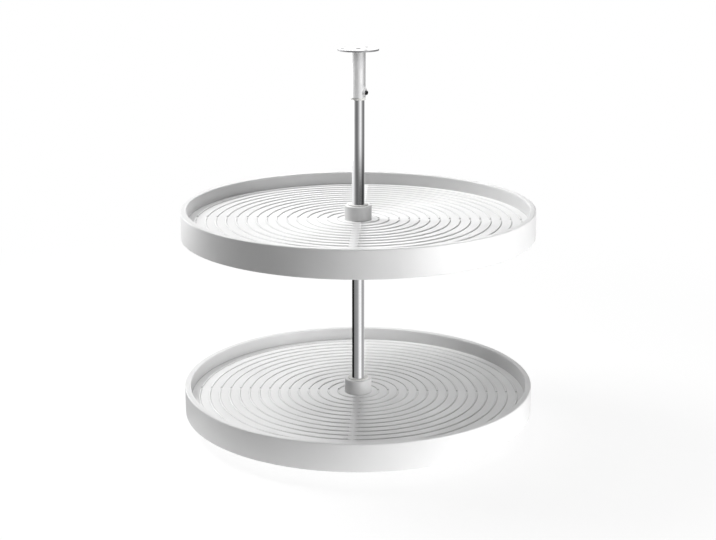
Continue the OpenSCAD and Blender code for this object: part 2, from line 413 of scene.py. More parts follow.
# %% [markdown]
# ### Edge wear
#
# Handling polishes outer edges. Cycles knows how pointed the mesh is at each vertex: above one
# half on an outer edge, below it in a groove. What is above makes the mask of edges, broken up by
# noise. What is below makes the mask of grooves, which the materials darken; on the trays this is
# painted shade.

# %% Edge wear group


def edge_wear_and_grooves(tree, given):
    pointed = put(tree, "NewGeometry").outputs["Pointiness"]
    above = calc(tree, "SUBTRACT", pointed, 0.5)
    edge = calc(tree, "DIVIDE", above, given["Reach"], clamp=True)
    broken = fade(tree, noise(tree, given, 3.0), 0.35, 0.6)
    below = calc(tree, "SUBTRACT", 0.5, pointed)
    groove = calc(tree, "DIVIDE", below, given["Reach"], clamp=True)
    return {"Edges": calc(tree, "MULTIPLY", edge, broken), "Grooves": groove}


EDGE_WEAR_AND_GROOVES = new_group("Edge wear and grooves", edge_wear_and_grooves, Place=ORIGIN, Size=0.004, Reach=0.06)

# %% [markdown]
# ### Dust
#
# Dust lies on what faces up. The upward part of the normal gives the mask, and noise thins it.

# %% Dust group


def dust(tree, given):
    normal = put(tree, "NewGeometry").outputs["Normal"]
    lying = fade(tree, height_of(tree, normal), 0.35, 0.95)
    thin = fade(tree, noise(tree, given, 5.0), 0.3, 0.75)
    mask = calc(tree, "MULTIPLY", lying, thin)
    return {"Mask": calc(tree, "MULTIPLY", mask, given["Amount"])}


DUST = new_group("Dust", dust, Place=ORIGIN, Size=0.03, Amount=0.2)

# %% [markdown]
# ### Scuffs
#
# A noise cut off near its middle value leaves thin threads, and other noise lets them come and go.
# Where the place is scaled unevenly, the threads are long in one direction.

# %% Scuffs group
PATCHES = 1 / 0.15


def scuffs(tree, given):
    off_middle = calc(tree, "ABSOLUTE", calc(tree, "SUBTRACT", noise(tree, given, 1.0), 0.5))
    thread = fade(tree, off_middle, given["Thinness"], 0.0)
    here = fade(tree, noise(tree, given, 2.0, PATCHES), 0.5, 0.62)
    return {"Mask": calc(tree, "MULTIPLY", thread, here)}


SCUFFS = new_group("Scuffs", scuffs, Place=ORIGIN, Size=0.003, Thinness=0.02)

# %% [markdown]
# ## The materials
#
# Each finish is one Principled BSDF. Values that are the same all over, such as the index of
# refraction, are written on the shader. Only what varies comes in through nodes.

# %% Start a material


def new_finish(name):
    """A new material, its node tree, the place on the piece and the shader's sockets."""
    finish = bpy.data.materials.new(name)
    finish.use_nodes = True
    tree = finish.node_tree
    return finish, tree, place_on_piece(tree), tree.nodes["Principled BSDF"].inputs


def bump(tree, height, distance, normal=None):
    """Turns a height into a bent normal. The distance is the real height in metres."""
    made = put(tree, "Bump", Height=height, Distance=distance)
    if normal is not None:
        plug(normal, made.inputs["Normal"])
    return made.outputs["Normal"]


print("materials start from one Principled BSDF")

# %% [markdown]
# ### White moulded plastic
#
# The trays are semi-gloss white, with a trace of orange peel, a cloudy change of gloss some
# centimetres wide, fine scuffs where tins have been slid, and a breath of dust on what faces up.
# Along the foot of each ring, and in the moulding's other grooves, runs a fine grey line of
# painted shade.

# %% White plastic
WHITE_PLASTIC = (0.83, 0.83, 0.83, 1)
WHITE_PLASTIC_DULL = (0.82, 0.82, 0.82, 1)
DUST_COLOUR = (0.66, 0.655, 0.64, 1)
# Grey of darkened grooves: painted shade on the trays, a plain darker groove on the nylon.
DARK_GROOVE_COLOUR = (0.30, 0.298, 0.294, 1)
CREASE_SHADE_AMOUNT = 0.8


def white_plastic():
    finish, tree, place, shader = new_finish("white moulded plastic")
    clouds = use(tree, CLOUDINESS, Place=place, Size=0.07,
                 Clear=WHITE_PLASTIC, Dull=WHITE_PLASTIC_DULL)
    wear = use(tree, EDGE_WEAR_AND_GROOVES, Place=place, Size=0.005, Reach=0.05)
    dusty = use(tree, DUST, Place=place, Size=0.02, Amount=0.04)["Mask"]
    slid = place_on_piece(tree, (1, 1, 0.1))
    scuffed = use(tree, SCUFFS, Place=slid, Size=0.02, Thinness=0.012)["Mask"]
    grained = use(tree, GRAIN, Place=place, Size=0.0016, Crispness=0.4)["Height"]
    # Painted shade: the grooves, the rings' feet among them, are darkened towards grey.
    painted_crease_shade = calc(tree, "MULTIPLY", wear["Grooves"], CREASE_SHADE_AMOUNT)
    shaded_colour = tint(tree, painted_crease_shade, clouds["Colour"], DARK_GROOVE_COLOUR)
    colour = tint(tree, dusty, shaded_colour, DUST_COLOUR)
    rough = fade(tree, clouds["Mask"], 0, 1, 0.30, 0.36)
    rough = add_shares(tree, rough, (dusty, 0.6), (scuffed, 0.12), (wear["Edges"], -0.015))
    peel = bump(tree, grained, 0.006 * MM)
    normal = bump(tree, scuffed, -0.002 * MM, peel)
    fill(shader, Base_Color=colour, Roughness=rough, Normal=normal, IOR=1.5)
    return finish


WHITE = white_plastic()
print("finish:", WHITE.name)

# %% [markdown]
# ### Natural nylon
#
# The bushes, washers and guides are unpigmented nylon, off-white and slightly waxy. The little
# light that sinks in wouldn't show on such small pieces, so it is left out.

# %% Nylon
NYLON = (0.80, 0.795, 0.775, 1)
NYLON_DULL = (0.74, 0.735, 0.71, 1)


def natural_nylon():
    finish, tree, place, shader = new_finish("natural nylon")
    clouds = use(tree, CLOUDINESS, Place=place, Size=0.012, Clear=NYLON, Dull=NYLON_DULL)
    wear = use(tree, EDGE_WEAR_AND_GROOVES, Place=place, Size=0.003, Reach=0.06)
    grained = use(tree, GRAIN, Place=place, Size=0.0008, Crispness=0.6)["Height"]
    # Grooves are made darker.
    darker_grooves = calc(tree, "MULTIPLY", wear["Grooves"], 0.15)
    colour = tint(tree, darker_grooves, clouds["Colour"], DARK_GROOVE_COLOUR)
    rough = fade(tree, clouds["Mask"], 0, 1, 0.42, 0.56)
    rough = add_shares(tree, rough, (wear["Edges"], -0.12))
    normal = bump(tree, grained, 0.01 * MM)
    fill(shader, Base_Color=colour, Roughness=rough, Normal=normal, IOR=1.53)
    return finish


NYLON_FINISH = natural_nylon()
print("finish:", NYLON_FINISH.name)

# %% [markdown]
# ### Metals
#
# All the metals are one idea: a base that drifts between two shades, fine lines along the tube or
# grain all over, brighter worn edges and darker grooves. Each finish is a short list of values.

# %% A metal finish
ALONG_TUBE = (1, 1, 0.02)
EVEN = (1, 1, 1)


def metal(name, clear, dull, patch, rough_low, rough_high, lines, line_size, depth, worn,
          wear_gloss):
    """A metal with cloudy colour, directional grain and worn edges."""
    finish, tree, place, shader = new_finish(name)
    along = place_on_piece(tree, lines)
    clouds = use(tree, CLOUDINESS, Place=place, Size=patch, Clear=clear, Dull=dull)
    wear = use(tree, EDGE_WEAR_AND_GROOVES, Place=place, Size=0.002, Reach=0.07)
    grained = use(tree, GRAIN, Place=along, Size=line_size, Crispness=0.6)["Height"]
    scuffed = use(tree, SCUFFS, Place=along, Size=line_size * 6, Thinness=0.015)["Mask"]
    dusty = use(tree, DUST, Place=place, Size=0.006, Amount=0.12)["Mask"]
    colour = tint(tree, wear["Edges"], clouds["Colour"], worn)
    # Grooves are made darker.
    darker_grooves = calc(tree, "MULTIPLY", wear["Grooves"], 0.35)
    colour = tint(tree, darker_grooves, colour, tuple(0.4 * c for c in dull[:3]) + (1,))
    colour = tint(tree, dusty, colour, DUST_COLOUR)
    rough = fade(tree, clouds["Mask"], 0, 1, rough_low, rough_high)
    streaks = fade(tree, grained, 0.35, 0.65, -0.03, 0.03)
    rough = add_shares(tree, calc(tree, "ADD", rough, streaks),
                       (scuffed, 0.08), (dusty, 0.5), (wear["Edges"], wear_gloss))
    rough = calc(tree, "MAXIMUM", rough, 0.03)
    normal = bump(tree, scuffed, -depth, bump(tree, grained, depth))
    fill(shader, Base_Color=colour, Roughness=rough, Normal=normal, Metallic=1.0)
    return finish


CHROME = metal(
    "bright chromed tube", (0.79, 0.79, 0.80, 1), (0.75, 0.75, 0.765, 1), 0.05,
    0.04, 0.07, ALONG_TUBE, 0.0009, 0.0004 * MM, (0.86, 0.86, 0.86, 1), 0.02)
SATIN = metal(
    "satin light steel", (0.90, 0.90, 0.90, 1), (0.86, 0.86, 0.865, 1), 0.02,
    0.58, 0.66, ALONG_TUBE, 0.0012, 0.002 * MM, (0.93, 0.93, 0.93, 1), -0.08)
ZINC = metal(
    "bright zinc plate", (0.66, 0.675, 0.69, 1), (0.54, 0.555, 0.575, 1), 0.008,
    0.24, 0.40, EVEN, 0.0007, 0.006 * MM, (0.76, 0.76, 0.76, 1), -0.08)
BLACK_OXIDE = metal(
    "black oxide", (0.035, 0.035, 0.038, 1), (0.022, 0.022, 0.024, 1), 0.003,
    0.34, 0.48, EVEN, 0.0004, 0.006 * MM, (0.10, 0.10, 0.10, 1), -0.1)
print("metal finishes:", [m.name for m in (CHROME, SATIN, ZINC, BLACK_OXIDE)])

# %% [markdown]
# The top flange is stamped from plate. A stamped edge is torn rather than cut, which makes the rim
# a little duller, and the rim is also painted darker than its faces as painted shade along the
# edge.
# The sides of its holes are painted near black: painted shade. One mask says how upright the
# surface stands, the other how far it is from the post.

# %% Satin plate with stamped edges and painted shade
PLATE_FACE = (0.8, 0.8, 0.8, 1)
PLATE_GLANCE = (0.6, 0.6, 0.6, 1)
SHADED_TORN_RIM = (0.40, 0.40, 0.41, 1)
HOLE_WALL_SHADE = (0.05, 0.05, 0.05, 1)
RIM_ENDS = (FLANGE_R - 1 * MM, FLANGE_R - 3 * MM)
LEVEL_ENDS = (0.8, 0.5)


def with_shaded_stamped_edges(finish, name):
    """Copy of a finish with duller faces, a rim darkened partly as painted shade, and holes in
    painted shade.
    """
    plate = finish.copy()
    plate.name = name
    tree = plate.node_tree
    shader = tree.nodes["Principled BSDF"].inputs
    shader["Specular Tint"].default_value = PLATE_GLANCE
    base = shader["Base Color"]
    face = tint(tree, 1.0, base.links[0].from_socket, PLATE_FACE, "MULTIPLY")
    off_axis = distance_of(tree, place_on_piece(tree, (1, 1, 0)))
    # Painted shade: the rim a mid grey, the sides of the holes near black.
    rim_and_hole_shade = tint(tree, fade(tree, off_axis, *RIM_ENDS), SHADED_TORN_RIM, HOLE_WALL_SHADE)
    normal = put(tree, "TexCoord").outputs["Normal"]
    level = calc(tree, "ABSOLUTE", height_of(tree, normal))
    plug(tint(tree, fade(tree, level, *LEVEL_ENDS), face, rim_and_hole_shade), base)
    return plate


SATIN_PLATE = with_shaded_stamped_edges(SATIN, "satin steel plate")
FINISHES = {
    "white_polymer": WHITE, "natural_nylon": NYLON_FINISH, "chromed_steel": CHROME,
    "satin_steel": SATIN, "zinc_plated_steel": ZINC, "black_oxide_steel": BLACK_OXIDE,
}
print("finish:", SATIN_PLATE.name, "and", len(FINISHES), "others, by their slots' names")

# %% [markdown]
# ## The tray: one moulding
#
# A tray is one moulding: a hollow rolled rim whose outer side is the skirt, a floor with fifteen
# half-round rings broken by four straight gaps, a plain hub, and under the floor twelve webs that
# run from the hub to the skirt. Rings laid on as separate tori would leak light at their feet, so
# the whole moulding is one closed mesh.
#
# The trick is a polar grid. Its rows are the points of the section, and its columns go round. On
# the upper side the columns crowd together at the edges of the four gaps, on the lower side at the
# webs. Inside such a strip the surface has another height: the plain floor in a gap, the web's
# lower edge at a web. Where the two heights meet, an upright wall closes the step.

# %% Sizes of the moulding
SKIRT_H = 47.6 * MM
FLOOR_Z = 24.1 * MM
WALL = 2.6 * MM
FLOOR_R = TRAY_R - 10.5 * MM
FLOOR_UNDER = FLOOR_Z - WALL
HUB_R = 23.3 * MM
HUB_TOP = FLOOR_Z + 24.9 * MM
SEAT_R = 14 * MM
HUB_FOOT = 3.4 * MM
RING_COUNT = 15
FIRST_RING_R = 35.7 * MM
LAST_RING_R = FLOOR_R - 14.3 * MM
RING_HALF = 1.6 * MM
RING_FOOT = 0.25 * MM
JUNCTION = 0.7 * MM
SKIRT_EDGE = 1.2 * MM
HOLD = 0.5 * MM
GAP_COUNT = 4
GAP_HALF = 7 * MM
WEB_COUNT = 12
WEB_HALF = 1 * MM
WEB_LOW = FLOOR_UNDER - 12 * MM
ROUND_WEB_RADII = (0.36 * TRAY_R, 0.68 * TRAY_R)
RING_PITCH = (LAST_RING_R - FIRST_RING_R) / (RING_COUNT - 1)
RING_MARGIN = 3 * MM
print("rings every", round(RING_PITCH / MM, 2), "mm")

# %% [markdown]
# The section is drawn in two runs. The upper run goes from the hub's bore over the floor to the
# outer top edge of the rim, the lower run from the skirt's lower edge back to the bore. A ring's
# section is a half circle with a small fillet at each foot, tangent to both.

# %% Section of one ring


def ring_section(centre_r):
    """Points over one half-round ring, from its inner foot to its outer one."""
    reach = RING_HALF + RING_FOOT
    lean = asin(RING_FOOT / reach)
    foot_r = reach * cos(lean)
    inner = [(centre_r - foot_r - k * HOLD, FLOOR_Z) for k in (2, 1)]
    outer = [(centre_r + foot_r + k * HOLD, FLOOR_Z) for k in (1, 2)]
    for k in range(3):
        turn = (TURN / 4 - lean) * k / 2
        across = foot_r - RING_FOOT * sin(turn)
        height = RING_FOOT * (1 - cos(turn))
        inner.append((centre_r - across, FLOOR_Z + height))
        outer.insert(0, (centre_r + across, FLOOR_Z + height))
    steps = 6
    crown = []
    for k in range(1, steps):
        turn = lean + (TURN / 2 - 2 * lean) * k / steps
        crown.append((centre_r - RING_HALF * cos(turn), FLOOR_Z + RING_HALF * sin(turn)))
    return inner + crown + outer


print("one ring takes", len(ring_section(FIRST_RING_R)), "points")

# %% Section of the whole tray


def upper_run():
    """Over the hub, the floor with its rings, and the rim."""
    run = rounded([
        (SEAT_R, HUB_TOP, 0.3 * MM), (HUB_R, HUB_TOP, 1.2 * MM),
        (HUB_R, FLOOR_Z, JUNCTION), (FLOOR_R, FLOOR_Z, 0),
        (SEAT_R, FLOOR_Z, 0),
    ], 5, HOLD)[:-2]
    for i in range(RING_COUNT):
        run += ring_section(FIRST_RING_R + i * RING_PITCH)
    run += rounded([
        (FIRST_RING_R, FLOOR_Z, 0), (FLOOR_R, FLOOR_Z, JUNCTION),
        (FLOOR_R, SKIRT_H, 2.4 * MM), (TRAY_R, SKIRT_H, 2.4 * MM),
        (TRAY_R, FLOOR_Z, 0),
    ], 6, HOLD)[1:-1]
    return run


def round_web(radius):
    """Section of a round web, from its outer foot to its inner one."""
    outer = radius + 2 * WEB_HALF
    return [
        (outer, FLOOR_UNDER, 0.6 * MM), (outer, WEB_LOW, 0.4 * MM),
        (radius, WEB_LOW, 0.4 * MM), (radius, FLOOR_UNDER, 0.6 * MM),
    ]


def lower_run():
    """From the skirt's lower edge, under the floor, to the hub's foot."""
    skirt_in = TRAY_R - WALL
    channel_in = FLOOR_R + WALL
    ceiling = SKIRT_H - WALL
    corners = [
        (TRAY_R, FLOOR_Z, 0), (TRAY_R, SKIRT_EDGE + 2 * HOLD, 0), (TRAY_R, SKIRT_EDGE + HOLD, 0),
        (TRAY_R, 0, SKIRT_EDGE), (skirt_in, 0, SKIRT_EDGE),
        (skirt_in, WEB_LOW, 0), (skirt_in, ceiling, 1 * MM), (channel_in, ceiling, 1 * MM),
        (channel_in, FLOOR_UNDER, 0.4 * MM),
    ]
    for radius in reversed(ROUND_WEB_RADII):
        corners += round_web(radius)
    tube_out = SEAT_R + WALL
    hub_in = HUB_R - WALL
    hub_ceiling = HUB_TOP - WALL
    corners += [
        (hub_in, FLOOR_UNDER, 0.4 * MM), (hub_in, hub_ceiling, 0.8 * MM),
        (tube_out, hub_ceiling, 0.8 * MM), (tube_out, WEB_LOW, 0),
        (tube_out, HUB_FOOT, 0.3 * MM), (SEAT_R, HUB_FOOT, 0.3 * MM),
        (SEAT_R, FLOOR_Z, 0),
    ]
    return rounded(corners, 4)[1:]


print("the section has", len(upper_run()), "+", len(lower_run()), "points")

# %% [markdown]
# Next come the columns, each with its angle and whether it lies inside a strip, on its edge or in
# the open. A strip keeps one width in millimetres, so its angle grows towards the hub. Near the
# hub, where there are no rings, the columns spread evenly again.

# %% Columns that crowd at the strips
COLUMNS = 240
GAP_HALF_COLUMNS = 2
OPEN, EDGE, INSIDE = "open", "edge", "inside"


def strip_columns(strips, first, half_columns, half_angle):
    """(angle, where) of each column, with evenly placed strips and the first strip's column."""
    per_strip = COLUMNS // strips
    columns = []
    for c in range(COLUMNS):
        k = (c - first + per_strip // 2) % per_strip - per_strip // 2
        centre = (c - k) * TURN / COLUMNS
        if abs(k) <= half_columns:
            offset = half_angle * k / half_columns
        else:
            share = (abs(k) - half_columns) / (per_strip / 2 - half_columns)
            offset = copysign(half_angle + share * (TURN / strips / 2 - half_angle), k)
        where = INSIDE if abs(k) < half_columns else EDGE if abs(k) == half_columns else OPEN
        columns.append((centre + offset, where))
    return columns


def has_rings(radius):
    """Whether the floor has rings here."""
    return FIRST_RING_R - RING_MARGIN < radius < LAST_RING_R + RING_MARGIN


def gap_columns(radius):
    """Columns of the upper side: four gaps, at 0, 90, 180 and 270 degrees."""
    even = GAP_HALF_COLUMNS * TURN / COLUMNS
    half_angle = asin(GAP_HALF / radius) if has_rings(radius) else even
    return strip_columns(GAP_COUNT, 0, GAP_HALF_COLUMNS, half_angle)


def web_columns(radius):
    """Columns of the lower side: twelve webs, each in the middle of a 30 degree sector."""
    return strip_columns(WEB_COUNT, COLUMNS // WEB_COUNT // 2, 1, asin(WEB_HALF / radius))


print("gap half angle at the first ring:", round(degrees(gap_columns(FIRST_RING_R)[2][0]), 2))

# %% Weave rows and columns into the moulding


def tray_rows():
    """Every row of the grid: radius, open height, strip height and columns."""
    rows = []
    for r, z in upper_run():
        rows.append((r, z, FLOOR_Z if has_rings(r) else z, gap_columns(r)))
    for r, z in lower_run():
        between = SEAT_R + WALL - WELD < r < TRAY_R - WALL + WELD
        rows.append((r, z, min(z, WEB_LOW) if between else z, web_columns(r)))
    return rows


def tray_mesh():
    """One closed mesh of a tray, from the polar grid."""
    bm = bmesh.new()
    rows = tray_rows()
    high, low = [], []
    for r, z, strip_z, columns in rows:
        spots = [(r * cos(angle), r * sin(angle)) for angle, _ in columns]
        high.append([bm.verts.new((x, y, z)) for x, y in spots])
        stepped = abs(strip_z - z) > WELD
        low.append([bm.verts.new((x, y, strip_z)) for x, y in spots] if stepped else high[-1])
    for j, (_, _, _, columns) in enumerate(rows):
        after = (j + 1) % len(rows)
        for c in range(COLUMNS):
            d = (c + 1) % COLUMNS
            side = low if INSIDE in (columns[c][1], columns[d][1]) else high
            bm.faces.new((side[j][c], side[j][d], side[after][d], side[after][c]))
            wall = dict.fromkeys((high[j][c], high[after][c], low[after][c], low[j][c]))
            if columns[c][1] == EDGE and len(wall) > 2:
                bm.faces.new(list(wall))
    loose = [v for v in bm.verts if not v.link_faces]
    bmesh.ops.delete(bm, geom=loose, context="VERTS")
    return bm


tray_moulding = to_piece("tray_moulding", tray_mesh())
print("tray mesh:", len(tray_moulding.data.vertices), "points")

# %% [markdown]
# Both trays come from one mould, so the second is a copy of the first, lifted to its own height.
# The photographed post shows no picture of the trays, so the trays and their upper bushes are
# hidden from mirror rays.

# %% The two trays
for tier, z in TIERS.items():
    tray = lift(new_object(tier + "_tray_moulding", tray_moulding.data.copy()), z)
    dress(tray, tier + "_turntable", tier + "_tray", "white_polymer")
    tray.visible_glossy = False
bpy.data.objects.remove(tray_moulding)

# %% [markdown]
# ## Bushes, washers and collars
#
# Each tray turns on two flanged nylon bushes. The lower one rests on a thrust washer, and the
# washer on a steel collar that a grub screw clamps to the post. From above only the upper bush's
# lip shows, as a pale ring round the post.

# %% A flanged bush
BUSH_L = 18 * MM
LIP_R = 17.5 * MM
LIP_T = 1.8 * MM


def flanged_bush(name):
    """Bush with its lip on top, measured from the lip's lower face."""
    return turned(name, [
        (RUNNING_R, -BUSH_L, 0.3 * MM), (SEAT_R, -BUSH_L, 0.5 * MM), (SEAT_R, 0, 0),
        (LIP_R, 0, 0.3 * MM), (LIP_R, LIP_T, 0.6 * MM), (RUNNING_R, LIP_T, 0.5 * MM),
    ])


def thrust_washer(name):
    """Flat ring between the lower bush and the collar."""
    inner = POST_R + 0.3 * MM
    thick = 1.5 * MM
    edge = 0.25 * MM
    return turned(name, [
        (inner, 0, edge), (LIP_R, 0, edge), (LIP_R, thick, edge), (inner, thick, edge),
    ])


for tier, z in TIERS.items():
    turntable = tier + "_turntable"
    top = lift(flanged_bush(tier + "_bush_above"), z + HUB_TOP)
    dress(top, turntable, tier + "_top_bush", "natural_nylon")
    top.visible_glossy = False
    bottom = lift(flanged_bush(tier + "_bush_below"), z + HUB_FOOT, UPSIDE_DOWN)
    dress(bottom, turntable, tier + "_bottom_bush", "natural_nylon")
    washer = lift(thrust_washer(tier + "_washer"), z)
    dress(washer, tier + "_carrier", tier + "_thrust_washer", "natural_nylon")

# %% [markdown]
# A grub screw is a headless screw with a hexagon socket. It is turned along +Z, its socket is cut,
# and it is then aimed at the post from the front.

# %% Grub screws and collars
GRUB_R = 3 * MM
COLLAR_R = 18 * MM
COLLAR_H = 12 * MM
THREAD_GAP = 0.05 * MM
SCREW_TIP = POST_R + 0.3 * MM


def grub_screw(name, outer, z):
    """Grub screw that ends just inside the outer radius of what it clamps."""
    body = GRUB_R - THREAD_GAP
    end = outer - 0.5 * MM
    chamfer = 1 * MM
    screw = turned(name, [
        (0, SCREW_TIP, 0), (body - chamfer, SCREW_TIP, 0.3 * MM),
        (body, SCREW_TIP + chamfer, 0.2 * MM), (body, end, 0.4 * MM), (0, end, 0),
    ], SMALL)
    return aim(cut(screw, [hexagon_key(GRUB_R, end - 2.5 * MM, end)]), FRONT, z)


def collar(name, z):
    """Support collar with its top face at z and its thread hole in front."""
    made = lift(turned(name, [
        (RUNNING_R, -COLLAR_H, 0.3 * MM), (COLLAR_R, -COLLAR_H, 0.7 * MM),
        (COLLAR_R, 0, 0.7 * MM), (RUNNING_R, 0, 0.3 * MM),
    ]), z)
    return cut(made, [thread_hole(GRUB_R, COLLAR_R, FRONT, z - COLLAR_H / 2)])


for tier, z in TIERS.items():
    carrier = tier + "_carrier"
    held = collar(tier + "_support_collar", z)
    dress(held, carrier, tier + "_collar", "zinc_plated_steel")
    screw = grub_screw(tier + "_grub_screw", COLLAR_R, z - COLLAR_H / 2)
    dress(screw, carrier, tier + "_collar_screw", "black_oxide_steel")

# %% [markdown]
# ## The post and its foot
#
# The post is a chromed steel tube. It stands in a socket welded to a round floor flange with three
# countersunk screw holes. The weld is a small hollow fillet at the socket's base.

# %% Flanges
HOLE_CIRCLE_R = 26.5 * MM
HOLE_R = 2.9 * MM
COUNTERSINK_R = 4.9 * MM


def countersink_drill(angle):
    """Drill for one screw hole, with its cone at the flange's upper face."""
    cone = COUNTERSINK_R - HOLE_R
    over = FLANGE_T + CLEAR
    drill = lathe("drill", [
        (0, -CLEAR), (HOLE_R, -CLEAR), (HOLE_R, FLANGE_T - cone), (COUNTERSINK_R, FLANGE_T),
        (COUNTERSINK_R, over), (0, over),
    ], SMALL)
    turn = Matrix.Rotation(radians(angle), 4, "Z")
    return lift(drill, 0, turn @ Matrix.Translation((HOLE_CIRCLE_R, 0, 0)))


def flange(name):
    """Round flange on z = 0, with three holes countersunk on top."""
    edge = 0.5 * MM
    made = turned(name, [
        (0, 0, 0), (FLANGE_R, 0, edge), (FLANGE_R, FLANGE_T, edge), (0, FLANGE_T, 0),
    ], FINE)
    return cut(made, [countersink_drill(a) for a in (180, 300, 60)])


dress(flange("base_flange"), "post_and_foot", "floor_flange", "zinc_plated_steel")

# %% Foot socket, its screw and the post
SOCKET_R = 17 * MM
SOCKET_TOP = FLANGE_T + 12 * MM
SOCKET_MIDDLE = (FLANGE_T + SOCKET_TOP) / 2
WELD_BEAD = 1.5 * MM


def post_socket():
    """Socket with a weld fillet at its base and a thread hole in front."""
    made = turned("post_socket", [
        (POST_R, FLANGE_T, 0), (SOCKET_R + WELD_BEAD + WELD, FLANGE_T, 0),
        (SOCKET_R, FLANGE_T, WELD_BEAD), (SOCKET_R, SOCKET_TOP, 0.9 * MM),
        (POST_R, SOCKET_TOP, 0.3 * MM),
    ])
    return cut(made, [thread_hole(GRUB_R, SOCKET_R, FRONT, SOCKET_MIDDLE)])


def chromed_post():
    """Plain tube, slightly rounded at its cut ends."""
    edge = 0.25 * MM
    return turned("chromed_post", [
        (POST_BORE, FLANGE_T, edge), (POST_R, FLANGE_T, edge),
        (POST_R, POST_TOP, edge), (POST_BORE, POST_TOP, edge),
    ], FINE)


dress(post_socket(), "post_and_foot", "foot_socket", "zinc_plated_steel")
foot_screw = grub_screw("socket_grub_screw", SOCKET_R, SOCKET_MIDDLE)
dress(foot_screw, "post_and_foot", "foot_grub_screw", "black_oxide_steel")
dress(chromed_post(), "post_and_foot", "post", "chromed_steel")

# %% [markdown]
# The post's upper end carries a nylon plug. Its head runs inside the sleeve, so that the sleeve
# slides without rattling.

# %% Guide plug
PLUG_L = 16 * MM
PLUG_HEAD_L = 6 * MM


def guide_plug():
    """Plug with a head as wide as the sleeve's bore allows."""
    foot_z = POST_TOP - PLUG_L
    top_z = POST_TOP + PLUG_HEAD_L
    head = SLEEVE_BORE - RUN_GAP
    return turned("nylon_post_plug", [
        (0, foot_z, 0), (POST_BORE, foot_z, 0.8 * MM), (POST_BORE, POST_TOP, 0),
        (head, POST_TOP, 0.3 * MM), (head, top_z, 0.8 * MM), (0, top_z, 0),
    ])


dress(guide_plug(), "post_and_foot", "post_guide_plug", "natural_nylon")

# %% [markdown]
# ## The sleeve and the top flange
#
# A sleeve slides over the post's upper end and carries the top flange up to the cabinet's top. It
# is satin steel, welded to the flange, with a nylon guide ring pressed into its lower end.

# %% Sleeve, guide ring and top flange
SLEEVE_TOP = SET_TOP - FLANGE_T
GUIDE_LIP = 4 * MM
GUIDE_NECK = 5 * MM
LOCK_ANGLE = -30
LOCK_Z = SLEEVE_LOW + 13 * MM
LOCK_R = 2.5 * MM
SIGHT_HOLE_R = 4.3 * MM


def sliding_sleeve():
    """Tube with a weld fillet under the flange and the lock's thread hole."""
    low = SLEEVE_LOW + GUIDE_LIP
    edge = 0.15 * MM
    bead = 1.4 * MM
    made = turned("sliding_sleeve", [
        (SLEEVE_BORE, low, edge), (SLEEVE_R, low, edge), (SLEEVE_R, SLEEVE_TOP, bead),
        (SLEEVE_R + bead + WELD, SLEEVE_TOP, 0), (SLEEVE_BORE, SLEEVE_TOP, 0),
    ], FINE)
    return cut(made, [thread_hole(LOCK_R, SLEEVE_R, LOCK_ANGLE, LOCK_Z)])


def guide_ring():
    """Ring whose lip is as wide as the sleeve and whose neck sits in the sleeve's end."""
    lip_top = SLEEVE_LOW + GUIDE_LIP
    neck_top = lip_top + GUIDE_NECK
    return turned("nylon_guide_ring", [
        (RUNNING_R, SLEEVE_LOW, 0.4 * MM), (SLEEVE_R, SLEEVE_LOW, 0.8 * MM),
        (SLEEVE_R, lip_top, 0.15 * MM), (SLEEVE_BORE, lip_top, 0),
        (SLEEVE_BORE, neck_top, 0.3 * MM), (RUNNING_R, neck_top, 0.3 * MM),
    ], FINE)


def ceiling_flange():
    """The floor flange's shape upside down under the cabinet's top, with a sighting hole."""
    made = lift(flange("ceiling_flange"), SET_TOP, UPSIDE_DOWN)
    return cut(made, [rod(SIGHT_HOLE_R, SLEEVE_TOP - CLEAR, SET_TOP + CLEAR)])


dress(sliding_sleeve(), "telescoping_sleeve", "sleeve", "satin_steel")
dress(guide_ring(), "telescoping_sleeve", "sleeve_guide_ring", "natural_nylon")
dress(ceiling_flange(), "telescoping_sleeve", "top_flange", "satin_steel", SATIN_PLATE)

# %% [markdown]
# ### The lock boss
#
# Low on the sleeve's right side stands a boss in the shape of a drop, with its tail down. A drop
# is two circles, a large and a small one, joined by their common tangents. Growing or shrinking
# both radii by the same amount gives the same drop, wider or narrower, so a stack of such drops
# makes the weld fillet at its root, its wall and its round front edge.

# %% Drop-shaped boss
BOSS_HEAD_R = 5 * MM
BOSS_TAIL_R = 1.2 * MM
BOSS_TAIL_L = 7.8 * MM
BOSS_FACE = SLEEVE_R + 3 * MM
BOSS_BEAD = 0.9 * MM
BOSS_EDGE = 0.6 * MM
BOSS_SUNK = 0.1 * MM
HEAD_STEPS = 24
TAIL_STEPS = 8


def drop(grow):
    """Drop outline as (across, along) points, with its tail towards +along."""
    head = BOSS_HEAD_R + grow
    tail = BOSS_TAIL_R + grow
    lean = acos((head - tail) / BOSS_TAIL_L)
    points = []
    for k in range(HEAD_STEPS + 1):
        turn = lean + (TURN - 2 * lean) * k / HEAD_STEPS
        points.append((head * sin(turn), head * cos(turn)))
    for k in range(TAIL_STEPS + 1):
        turn = -lean + 2 * lean * k / TAIL_STEPS
        points.append((tail * sin(turn), BOSS_TAIL_L + tail * cos(turn)))
    return points


